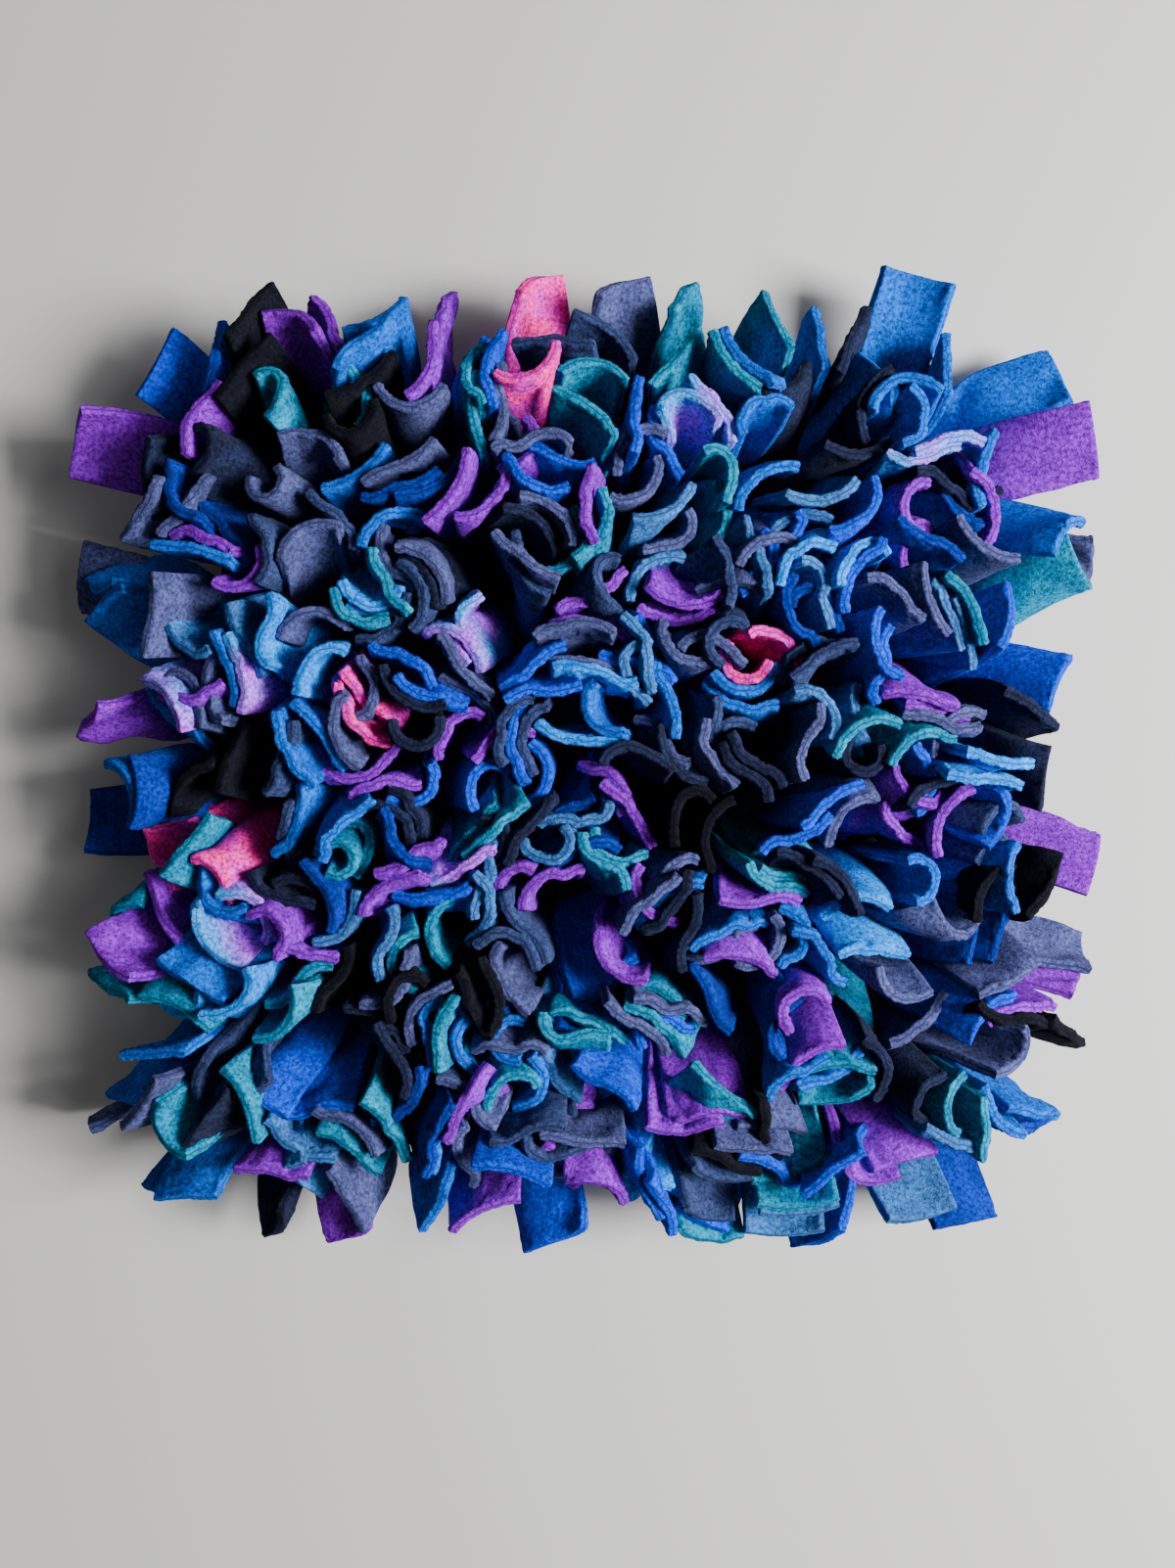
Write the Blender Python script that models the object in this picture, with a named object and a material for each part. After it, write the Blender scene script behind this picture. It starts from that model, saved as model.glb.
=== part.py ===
"""A snuffle mat lying on its back on a flat surface, with its fleece pile standing up.

A flat cloth panel carries rows of fleece strips. Each strip is sewn down by its middle, so its
two halves stand up beside each other as a pair of tails. The sewn middles of a row lie edge to
edge as one band, and the band with its tails is one solid, like a comb. The tails stand upright
in the middle of the mat and lean further outwards towards its edges, where they bend over.
Units are metres, +Z is up, and the origin is the centre of the panel's underside.
"""

import math
import random

import bmesh
import bpy
from mathutils import Matrix, Vector, noise

# Driving dimensions
ROWS = 15
STRIPS_PER_ROW = 15
PITCH = 0.018  # from one sewn strip to the next, along a row and from row to row
PANEL_THICK = 0.003
PANEL_BORDER = 0.003  # the panel's width outside the outermost strips
PANEL_CORNER_RADIUS = 0.012
FLEECE_THICK = 0.004
GAP = 0.0003  # between pieces that lie on or beside each other
TAIL_LENGTH = 0.060  # the mean length that stands free above the sewn band
TAIL_LENGTH_SPREAD = 0.004
TAIL_CHORD = 0.0142  # the width of a gathered tail at its root, straight across its curl
TAIL_SPACING = 0.009  # between the two tails of one strip
TAIL_OPENS = 0.12  # how much wider a tail is at its tip than at its root
FOLD_DEPTHS = (0.0, 0.0, 0.0032)  # how far a tail's middle stands out of its chord

# How the pile leans. A bend is the angle in radians from upright to a tail's tip.
SPREAD_INSIDE = {"left": 0.15, "right": 0.18, "far": 0.10, "near": 0.42}  # rises steadily outwards
SPREAD_AT_EDGE = {"left": 2.6, "right": 2.4, "far": 2.2, "near": 1.3}  # is added at the very edge
EDGE_POWER = 16
ROOT_LEAN = 0.28  # the lean at a tail's root, for a bend of one radian; grows with its square
SLUMP = (0.04, -0.06)  # the whole pile leans a little to the right and to the near side
TUFT_BEND = 0.16  # neighbouring tails lean together in tufts
TUFT_SIZE = 0.055
MOST_BEND = 2.0
STRAIGHT_BELOW = 0.55  # tails that bend less than this are drawn straight
CURVED_ABOVE = 1.00  # tails that bend more than this have their corner on the true arc

SEED = 11
NAVY = (0.012, 0.018, 0.045, 1.0)
FLEECE_BLUE = (0.035, 0.150, 0.480, 1.0)
CLOTH_ROUGHNESS = 0.95

HALF_X = STRIPS_PER_ROW * PITCH / 2
HALF_Y = ROWS * PITCH / 2
BAND_BOTTOM = PANEL_THICK + GAP
BAND_TOP = BAND_BOTTOM + FLEECE_THICK


def clear_scene():
    """Removes what the startup scene holds."""
    for obj in list(bpy.data.objects):
        bpy.data.objects.remove(obj, do_unlink=True)


def cloth_material(name, colour):
    """A matt cloth of one colour."""
    material = bpy.data.materials.new(name)
    material.use_nodes = True
    shader = material.node_tree.nodes["Principled BSDF"]
    shader.inputs["Base Color"].default_value = colour
    shader.inputs["Roughness"].default_value = CLOTH_ROUGHNESS
    shader.inputs["Metallic"].default_value = 0.0
    return material


def new_object(name, bm, material):
    """An object in the scene whose mesh comes from a bmesh."""
    bmesh.ops.triangulate(bm, faces=bm.faces)
    bmesh.ops.recalc_face_normals(bm, faces=bm.faces)
    mesh = bpy.data.meshes.new(name)
    bm.to_mesh(mesh)
    bm.free()
    mesh.materials.append(material)
    obj = bpy.data.objects.new(name, mesh)
    bpy.context.scene.collection.objects.link(obj)
    return obj


def side_bend(share_of_half, low_side, high_side):
    """The outward bend at a place given as -1 to 1 across the mat, signed like the place."""
    distance = abs(share_of_half)
    side = high_side if share_of_half > 0 else low_side
    bend = SPREAD_INSIDE[side] * distance + SPREAD_AT_EDGE[side] * distance**EDGE_POWER
    return math.copysign(bend, share_of_half)


def bend_at(place):
    """The bend of the pile at a place in plan: a vector whose length is the angle."""
    tuft = noise.noise_vector(place.to_3d() / TUFT_SIZE)
    bend = Vector(
        (
            side_bend(place.x / HALF_X, "left", "right") + SLUMP[0] + TUFT_BEND * tuft.x,
            side_bend(place.y / HALF_Y, "near", "far") + SLUMP[1] + TUFT_BEND * tuft.y,
        )
    )
    return bend * min(1.0, MOST_BEND / bend.length)


def on_arc(place, bend, along):
    """A point on the arc that rises from a place in plan and bends over."""
    root_angle = ROOT_LEAN * bend.length**2
    curvature = (bend.length - root_angle) / TAIL_LENGTH
    angle = root_angle + curvature * along
    out = bend.normalized() * (math.cos(root_angle) - math.cos(angle)) / curvature
    up = (math.sin(angle) - math.sin(root_angle)) / curvature
    return Vector((place.x + out.x, place.y + out.y, BAND_TOP + up))


def leaning_points(place, length):
    """The root, corner and tip of the line that stands at a place in plan.

    Bend varies smoothly from place to place and every line has its corner at the same height
    along itself, so lines that start apart stay apart.
    """
    bend = bend_at(place)
    root = on_arc(place, bend, 0)
    end = on_arc(place, bend, TAIL_LENGTH)
    curved = (bend.length - STRAIGHT_BELOW) / (CURVED_ABOVE - STRAIGHT_BELOW)
    curved = max(0.0, min(1.0, curved))
    corner = root.lerp(end, 0.5).lerp(on_arc(place, bend, TAIL_LENGTH / 2), curved)
    tip = corner.lerp(end, 2 * length / TAIL_LENGTH - 1)
    return root, corner, tip


def tail_heading(row, column, rng):
    """The direction of a strip's chord in plan: along the edge at the rim, and mixed inside."""
    wobble = math.radians(rng.uniform(-5, 5))
    quarter_turns = rng.randint(0, 1)
    if row in (0, ROWS - 1):
        return wobble / 2
    if column in (0, STRIPS_PER_ROW - 1):
        return math.pi / 2 + wobble / 2
    return quarter_turns * math.pi / 2 + wobble


def tails_of_row(row):
    """The tails of a row, each as its root centre, chord heading, fold depth and length."""
    rng = random.Random(SEED * 100 + row)
    tails = []
    y = (row + 0.5) * PITCH - HALF_Y
    for column in range(STRIPS_PER_ROW):
        x = (column + 0.5) * PITCH - HALF_X
        heading = tail_heading(row, column, rng)
        apart = Vector((-math.sin(heading), math.cos(heading))) * TAIL_SPACING / 2
        for side in (-1, 1):
            fold = rng.choice(FOLD_DEPTHS) * rng.choice((-1, 1))
            length = TAIL_LENGTH + rng.uniform(-TAIL_LENGTH_SPREAD, TAIL_LENGTH_SPREAD)
            tails.append((Vector((x, y)) + side * apart, heading, fold, length))
    return tails


def with_width(points, width):
    """Points across a tail, moved along its chord so that their ends are a width apart."""
    centre = (points[0] + points[-1]) / 2
    chord = points[-1] - points[0]
    change = width / chord.length - 1
    direction = chord.normalized()
    return [point + direction * (point - centre).dot(direction) * change for point in points]


def tail_rings(centre, heading, fold, length):
    """The outlines that a tail is extruded through, from its root to its tip.

    A tail is a sheet, flat or folded once along its middle. Each outline runs along one face of
    the sheet and back along the other, and the thickness is square to the bent sheet.
    """
    bend = bend_at(centre).length
    if bend > STRAIGHT_BELOW:
        fold = 0.0
    turn = Matrix.Rotation(heading, 2)
    shares = (-0.5, 0.5) if fold == 0 else (-0.5, 0.0, 0.5)
    columns = []
    for share in shares:
        depth = fold * (0.5 - 2 * abs(share))
        place = centre + turn @ Vector((share * TAIL_CHORD, depth))
        columns.append(leaning_points(place, length))
    levels = (0, 2) if bend <= STRAIGHT_BELOW else (0, 1, 2)
    rings = []
    for level in levels:
        width = TAIL_CHORD * (1 + TAIL_OPENS * level / 2)
        middle = with_width([column[level] for column in columns], width)
        chord = (middle[-1] - middle[0]).normalized()
        below = columns[0][max(level - 1, 0)]
        above = columns[0][min(level + 1, 2)]
        upwards = Vector((0, 0, 1)) if level == 0 else (above - below).normalized()
        across = chord.cross(upwards).normalized() * FLEECE_THICK / 2
        rings.append([p - across for p in middle] + [p + across for p in reversed(middle)])
    return rings


def build_row(row, material):
    """One row of strips as a comb: a flat band with its tails extruded from its top."""
    bm = bmesh.new()
    half_x = HALF_X - GAP / 2
    y = (row + 0.5) * PITCH - HALF_Y
    half_y = (PITCH - GAP) / 2
    corners = ((-half_x, y - half_y), (half_x, y - half_y), (half_x, y + half_y), (-half_x, y + half_y))
    outline = [bm.verts.new((*corner, BAND_TOP)) for corner in corners]
    rim = [bm.edges.new((outline[i], outline[i - 1])) for i in range(4)]
    tails = []
    for tail in tails_of_row(row):
        rings = tail_rings(*tail)
        foot = bm.faces.new([bm.verts.new(point) for point in rings[0]])
        tails.append((foot, rings))
    foot_edges = [edge for foot, _ in tails for edge in foot.edges]
    bmesh.ops.triangle_fill(bm, use_beauty=True, edges=rim + foot_edges)

    walls = bmesh.ops.extrude_edge_only(bm, edges=rim)["geom"]
    floor_verts = [item for item in walls if isinstance(item, bmesh.types.BMVert)]
    for vert in floor_verts:
        vert.co.z = BAND_BOTTOM
    floor_edges = [e for e in bm.edges if e.is_boundary and e.verts[0].co.z < BAND_TOP - GAP]
    bmesh.ops.contextual_create(bm, geom=floor_edges)

    for end, rings in tails:
        for before, after in zip(rings, rings[1:]):
            new = bmesh.ops.extrude_face_region(bm, geom=[end])["geom"]
            bmesh.ops.delete(bm, geom=[end], context="FACES_ONLY")
            end = next(item for item in new if isinstance(item, bmesh.types.BMFace))
            for vert in end.verts:
                nearest = min(range(len(before)), key=lambda i: (before[i] - vert.co).length)
                vert.co = after[nearest]
    return new_object(f"strip_row_{row + 1:02d}", bm, material)


def build_panel(material):
    """The flat panel under the pile, with rounded corners."""
    bm = bmesh.new()
    bmesh.ops.create_cube(bm, size=1)
    size = (2 * (HALF_X + PANEL_BORDER), 2 * (HALF_Y + PANEL_BORDER), PANEL_THICK)
    bmesh.ops.scale(bm, verts=bm.verts, vec=size)
    bmesh.ops.translate(bm, verts=bm.verts, vec=(0, 0, PANEL_THICK / 2))
    upright = [e for e in bm.edges if abs(e.verts[0].co.z - e.verts[1].co.z) > PANEL_THICK / 2]
    bmesh.ops.bevel(
        bm, geom=upright, offset=PANEL_CORNER_RADIUS, segments=5, affect="EDGES", profile=0.5
    )
    return new_object("base_panel", bm, material)


def main():
    """Builds the panel and its rows of strips."""
    clear_scene()
    noise.seed_set(SEED)
    build_panel(cloth_material("base_cloth", NAVY))
    fleece = cloth_material("fleece", FLEECE_BLUE)
    for row in range(ROWS):
        build_row(row, fleece)


main()
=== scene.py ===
"""The looks of a snuffle mat: a dense pile of sewn-down fleece strips on a flat cloth panel.

The mat lies on its back. Every strip is one sheet of fleece, sewn down across its middle, so
that its two halves stand up as a pair of tails. The strips start out narrow and thin, in the
same leaning layout as the solids of the frame, and grow to their full width and thickness
while they push each other aside. This gives them their curls, and keeps most of the pile from
passing through itself.
Lengths are in metres, and +Z is up, out of the pile.
"""

from __future__ import annotations

import logging
import math
import random
from collections.abc import Iterator
from dataclasses import dataclass, field
from enum import Enum

import bmesh
import bpy
import numpy as np
from mathutils import Matrix, Vector, noise

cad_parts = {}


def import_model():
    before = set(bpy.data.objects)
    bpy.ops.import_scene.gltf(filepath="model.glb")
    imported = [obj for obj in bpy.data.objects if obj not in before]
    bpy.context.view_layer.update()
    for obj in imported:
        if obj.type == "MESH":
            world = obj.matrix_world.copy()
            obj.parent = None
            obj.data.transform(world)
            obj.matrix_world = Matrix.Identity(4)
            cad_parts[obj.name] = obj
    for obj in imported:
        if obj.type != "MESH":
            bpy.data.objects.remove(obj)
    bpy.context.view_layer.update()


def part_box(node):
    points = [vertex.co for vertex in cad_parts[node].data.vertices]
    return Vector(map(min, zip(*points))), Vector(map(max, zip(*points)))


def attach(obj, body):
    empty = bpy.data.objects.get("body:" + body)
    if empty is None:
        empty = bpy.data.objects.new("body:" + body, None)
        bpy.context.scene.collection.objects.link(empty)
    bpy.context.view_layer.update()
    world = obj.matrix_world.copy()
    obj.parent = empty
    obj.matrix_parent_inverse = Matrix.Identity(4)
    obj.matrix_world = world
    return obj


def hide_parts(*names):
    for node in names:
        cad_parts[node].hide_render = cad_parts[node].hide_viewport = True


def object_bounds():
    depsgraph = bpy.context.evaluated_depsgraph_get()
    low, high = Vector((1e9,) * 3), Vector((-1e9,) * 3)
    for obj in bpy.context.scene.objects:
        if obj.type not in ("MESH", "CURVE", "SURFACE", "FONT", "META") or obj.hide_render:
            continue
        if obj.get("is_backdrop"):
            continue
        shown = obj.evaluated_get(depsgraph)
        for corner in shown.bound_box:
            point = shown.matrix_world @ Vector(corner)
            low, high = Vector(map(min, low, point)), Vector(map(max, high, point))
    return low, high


log = logging.getLogger("snuffle_mat")

EVERY = slice(None)
Triple = tuple[float, float, float]
Colour = Triple
Feed = float | Colour | bpy.types.NodeSocket


def smooth_step(values: np.ndarray | float, low: float, high: float) -> np.ndarray:
    """Rises smoothly from 0 at low to 1 at high.

    Args:
        values: Where to read the curve.
        low: The value at which the rise starts.
        high: The value at which it ends.

    Returns:
        The curve's height at each value.
    """
    share = np.clip((np.asarray(values, dtype=float) - low) / (high - low), 0.0, 1.0)
    return share * share * (3.0 - 2.0 * share)


@dataclass(frozen=True)
class MatSizes:
    """The sizes of the mat, as its maker would cut and sew it.

    Attributes:
        pitch: From one row, or one strip in a row, to the next.
        panel_border: How far the panel reaches past the strips' places on every side.
        gap: The clearance between the panel and what lies on it.
        band_thick: The thickness of a row's sewn middle.
        width_spread: How much wider or narrower than usual a strip may be cut.
        tail_spread: How much longer or shorter than usual a tail may be.
        sewn_length: How much of a strip's length is sewn down.
        gathered_share: A strip's width where it is sewn down, as a share of its cut width.
    """

    rows: int = 15
    strips_per_row: int = 15
    pitch: float = 0.018
    panel_thick: float = 0.003
    panel_border: float = 0.003
    gap: float = 0.0003
    band_thick: float = 0.0040
    fleece_thick: float = 0.0039
    strip_width: float = 0.028
    width_spread: float = 0.0016
    tail_length: float = 0.060
    tail_spread: float = 0.005
    sewn_length: float = 0.009
    gathered_share: float = 0.48

    @property
    def half_x(self) -> float:
        """Half the length of a row."""
        return self.strips_per_row * self.pitch / 2

    @property
    def half_y(self) -> float:
        """Half the depth of all rows."""
        return self.rows * self.pitch / 2

    @property
    def band_middle(self) -> float:
        """The height of the sewn middles' mid-plane."""
        return self.panel_thick + self.gap + self.band_thick / 2

    @property
    def band_top(self) -> float:
        """The height that the tails stand up from."""
        return self.panel_thick + self.gap + self.band_thick


@dataclass(frozen=True)
class SideLean:
    """How the pile leans out on one side: steadily from the middle, and over at the edge."""

    inside: float
    at_edge: float
    edge_power: int = 16

    def bend(self, share: float) -> float:
        """The outward bend at a share, from 0 to 1, of the way from the middle to this side."""
        return self.inside * share + self.at_edge * share**self.edge_power


@dataclass(frozen=True)
class Lean:
    """How the pile leans: upright in the middle, and over the edge at the rim.

    A bend is the angle in radians from upright to a tail's tip.

    Attributes:
        slump: A bend that the whole pile has.
        tuft_bend: How much the bend varies from one tuft of tails to the next.
        tuft_size: How far apart the tufts are.
        root_lean: A factor on the square of the bend, which gives the lean at a tail's root.
        most: The largest bend.
        seed: The seed of the tufts.
    """

    sizes: MatSizes
    left: SideLean = SideLean(0.15, 2.6)
    right: SideLean = SideLean(0.18, 2.4)
    far: SideLean = SideLean(0.10, 2.2)
    near: SideLean = SideLean(0.42, 1.3)
    slump: tuple[float, float] = (0.04, -0.06)
    tuft_bend: float = 0.16
    tuft_size: float = 0.055
    root_lean: float = 0.28
    most: float = 2.0
    seed: int = 11

    def bend_at(self, x: float, y: float) -> np.ndarray:
        """The bend of the pile at a place in plan.

        Args:
            x: The place along the row.
            y: The place across the rows.

        Returns:
            A vector in plan, whose direction is where the pile leans and whose length is the bend.
        """
        across = x / self.sizes.half_x
        deep = y / self.sizes.half_y
        tuft = noise.noise_vector(Vector((x, y, 0.0)) / self.tuft_size)
        bend = np.array(
            [
                (self.right.bend(across) if across > 0 else -self.left.bend(-across))
                + self.slump[0]
                + self.tuft_bend * tuft.x,
                (self.far.bend(deep) if deep > 0 else -self.near.bend(-deep))
                + self.slump[1]
                + self.tuft_bend * tuft.y,
            ]
        )
        return bend * min(1.0, self.most / float(np.hypot(*bend)))

    def line(self, place: np.ndarray, bend: np.ndarray, along: np.ndarray) -> np.ndarray:
        """Points on the arc that rises from a place in plan and bends over.

        Args:
            place: The root in plan.
            bend: The bend there.
            along: Distances along the arc.

        Returns:
            One point for each distance.
        """
        size = max(float(np.hypot(*bend)), 1e-6)
        start = self.root_lean * size**2
        curvature = (size - start) / self.sizes.tail_length
        angle = start + curvature * along
        out = (math.cos(start) - np.cos(angle)) / curvature
        up = (np.sin(angle) - math.sin(start)) / curvature
        return np.stack(
            [
                place[0] + out * bend[0] / size,
                place[1] + out * bend[1] / size,
                self.sizes.band_top + up,
            ],
            axis=-1,
        )


class Curl(Enum):
    """The curl of a tail's cross-section: how far it turns in its first and its second half."""

    OPEN = (0.5, 0.7)
    ARC = (1.15, 1.25)
    HOOK = (0.5, 2.2)
    HOOP = (2.0, 2.1)
    WAVE = (1.5, -1.4)
    LAZY_WAVE = (1.0, -0.7)

    def outline(self, columns: int, turn: float) -> np.ndarray:
        """The curl as a plane curve of unit length, centred on its middle.

        Args:
            columns: How many points it has.
            turn: A factor on its turning, negative for the mirrored curl.

        Returns:
            The points, with the curve's middle part along the first axis.
        """
        finer = 8
        fine = finer * (columns - 1)
        share = (np.arange(fine) + 0.5) / fine
        turning = np.where(share < 0.5, self.value[0], self.value[1]) * turn * 2.0 / fine
        angle = np.cumsum(turning)
        angle -= angle[fine // 2]
        steps = np.stack([np.cos(angle), np.sin(angle)], axis=-1) / fine
        points = np.vstack([np.zeros(2), np.cumsum(steps, axis=0)])[::finer]
        return points - (points.max(axis=0) + points.min(axis=0)) / 2


@dataclass
class Tail:
    """One free half of a strip.

    Attributes:
        side: -1 for the half towards the near side of an unturned strip, 1 for the other.
        turn: A factor on its curl's turning, negative for the mirrored curl.
        push: How much more it bends over than the pile around it, in plan.
    """

    side: int
    length: float
    curl: Curl
    turn: float
    push: np.ndarray


@dataclass
class Strip:
    """One strip of fleece, sewn down across its middle.

    Attributes:
        centre: The middle of its seam in plan.
        heading: How far it is turned in plan, in radians, from lying across the rows.
    """

    centre: np.ndarray
    heading: float
    width: float
    dye: Dye
    tails: list[Tail]


@dataclass
class Sower:
    """Lays out the strips: where each is sewn, how it is turned and curled, and its dye.

    Attributes:
        inside_curls: The kinds of curl inside the rim, each with its share of the tails.
        push_inside: How much the tails' pushes spread inside the rim.
        push_at_rim: How much they spread at the rim.
        outward: The least and the most that the rim and the rings inside it push outwards.
        askew_at_rim: The share of the rim's strips that are turned at random, not outwards.
        heading_spread: How much the headings of the others spread.
        flopped: The share of the strips inside the rim that flop over, at the far and near side.
        flop: The least and the most that such a strip's tails push towards the near side.
        flop_sideways: How much they spread to the sides.
        flop_heading_spread: How much such a strip's heading spreads.
        same_hand: The share of the tails that curl to the side that their strip favours.
        turn: The least and the most turning of a curl.
        turn_at_rim: A factor on it at the rim.
        open_at_rim: The share of the rim's tails that are open. The others have any curl.
        edge_trim: A factor on the length of tails that reach out over the near and far edge,
            and of those at the corners.
    """

    sizes: MatSizes
    seed: int = 4
    inside_curls: tuple[tuple[Curl, float], ...] = (
        (Curl.OPEN, 0.22),
        (Curl.ARC, 0.30),
        (Curl.HOOK, 0.16),
        (Curl.HOOP, 0.06),
        (Curl.WAVE, 0.11),
        (Curl.LAZY_WAVE, 0.15),
    )
    push_inside: float = 0.29
    push_at_rim: float = 0.30
    outward: tuple[tuple[float, float], ...] = ((-0.75, 0.15), (0.05, 0.75), (-0.05, 0.35))
    askew_at_rim: float = 0.28
    heading_spread: float = 0.32
    flopped: tuple[float, float] = (0.06, 0.26)
    flop: tuple[float, float] = (0.40, 0.95)
    flop_sideways: float = 0.25
    flop_heading_spread: float = 0.5
    same_hand: float = 0.7
    turn: tuple[float, float] = (0.55, 1.12)
    turn_at_rim: float = 0.45
    open_at_rim: float = 0.6
    edge_trim: float = 0.86

    def strips(self) -> list[Strip]:
        """Lays out the whole mat.

        Returns:
            All strips, row by row from the near side.
        """
        rng = random.Random(self.seed)
        deck = Dye.deck(self.sizes.rows * self.sizes.strips_per_row, rng)
        strips: list[Strip] = []
        for row in range(self.sizes.rows):
            for column in range(self.sizes.strips_per_row):
                dye = self._unlike_neighbours(deck, strips, column)
                strips.append(self._strip(row, column, dye, rng))
        return strips

    def _unlike_neighbours(self, deck: list[Dye], strips: list[Strip], column: int) -> Dye:
        """Takes the next dye from the deck that isn't the kin of one sewn beside it.

        Args:
            deck: The dyes that are left.
            strips: The strips laid out so far.
            column: The new strip's place in its row.

        Returns:
            The dye, which is no longer in the deck.
        """
        per_row = self.sizes.strips_per_row
        beside = [strips[-1]] if column > 0 else []
        if len(strips) >= per_row:
            before = len(strips) - per_row
            beside += strips[max(before - column, before - 1) : before + 1]
            if column < per_row - 1:
                beside.append(strips[before + 1])
        for index in reversed(range(len(deck))):
            if all(deck[index].kin != strip.dye.kin for strip in beside):
                return deck.pop(index)
        return deck.pop()

    def _strip(self, row: int, column: int, dye: Dye, rng: random.Random) -> Strip:
        """One strip.

        Args:
            row: Its row, from the near side.
            column: Its place in the row, from the left.
            dye: Its dye.
            rng: The source of what varies.

        Returns:
            The strip, with its two tails.
        """
        sizes = self.sizes
        places = np.array([column + 0.5, row + 0.5]) * sizes.pitch
        centre = places - (sizes.half_x, sizes.half_y)
        on_end = row in (0, sizes.rows - 1)
        on_side = column in (0, sizes.strips_per_row - 1)
        at_rim = on_end or on_side
        heading = rng.uniform(0.0, math.pi)
        if on_end and rng.random() > self.askew_at_rim:
            heading = rng.gauss(0.0, self.heading_spread)
        elif on_side and rng.random() > self.askew_at_rim:
            heading = math.pi / 2 + rng.gauss(0.0, self.heading_spread)
        near = 1.0 - row / (sizes.rows - 1)
        flopped = rng.random() < self.flopped[0] + (self.flopped[1] - self.flopped[0]) * near
        flopped = flopped and not at_rim
        if flopped:
            heading = rng.gauss(0.0, self.flop_heading_spread)
        tails = []
        favoured = rng.choice((-1, 1))
        for side in (-1, 1):
            curl = self._curl(at_rim, rng)
            hand = favoured if rng.random() < self.same_hand else -favoured
            spread = self.push_at_rim if at_rim else self.push_inside
            push = np.array([rng.gauss(0.0, spread), rng.gauss(0.0, spread)])
            length = sizes.tail_length + rng.uniform(-sizes.tail_spread, sizes.tail_spread)
            if on_end and side * (row - sizes.rows // 2) * math.cos(heading) > 0:
                length *= self.edge_trim
            if on_end and on_side:
                length *= self.edge_trim
            push += self._outward(row, column, rng)
            if flopped:
                curl = Curl.OPEN
                push = np.array([rng.gauss(0.0, self.flop_sideways), -rng.uniform(*self.flop)])
            turn = hand * rng.uniform(*self.turn)
            if at_rim:
                turn *= self.turn_at_rim
            tails.append(Tail(side, length, curl, turn, push))
        width = sizes.strip_width + rng.uniform(-sizes.width_spread, sizes.width_spread)
        return Strip(centre, heading, width, dye, tails)

    def _outward(self, row: int, column: int, rng: random.Random) -> np.ndarray:
        """How much further a tail leans out over the nearest edge than the pile around it.

        Args:
            row: Its strip's row.
            column: Its strip's place in the row.
            rng: The source of what varies.

        Returns:
            The push in plan, which is nothing well inside the mat.
        """
        across = min(column, self.sizes.strips_per_row - 1 - column)
        deep = min(row, self.sizes.rows - 1 - row)
        push = np.zeros(2)
        ring = min(across, deep)
        if ring < len(self.outward):
            away = rng.uniform(*self.outward[ring])
            if across <= deep:
                push[0] = away if column > across else -away
            else:
                push[1] = away if row > deep else -away
        return push

    def _curl(self, at_rim: bool, rng: random.Random) -> Curl:
        """Picks a tail's curl.

        Args:
            at_rim: Whether the tail is at the rim, where most are open.
            rng: The source of what varies.

        Returns:
            The curl.
        """
        if at_rim and rng.random() < self.open_at_rim:
            return Curl.OPEN
        kinds = [kind for kind, _ in self.inside_curls]
        weights = [weight for _, weight in self.inside_curls]
        return rng.choices(kinds, weights)[0]


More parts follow.
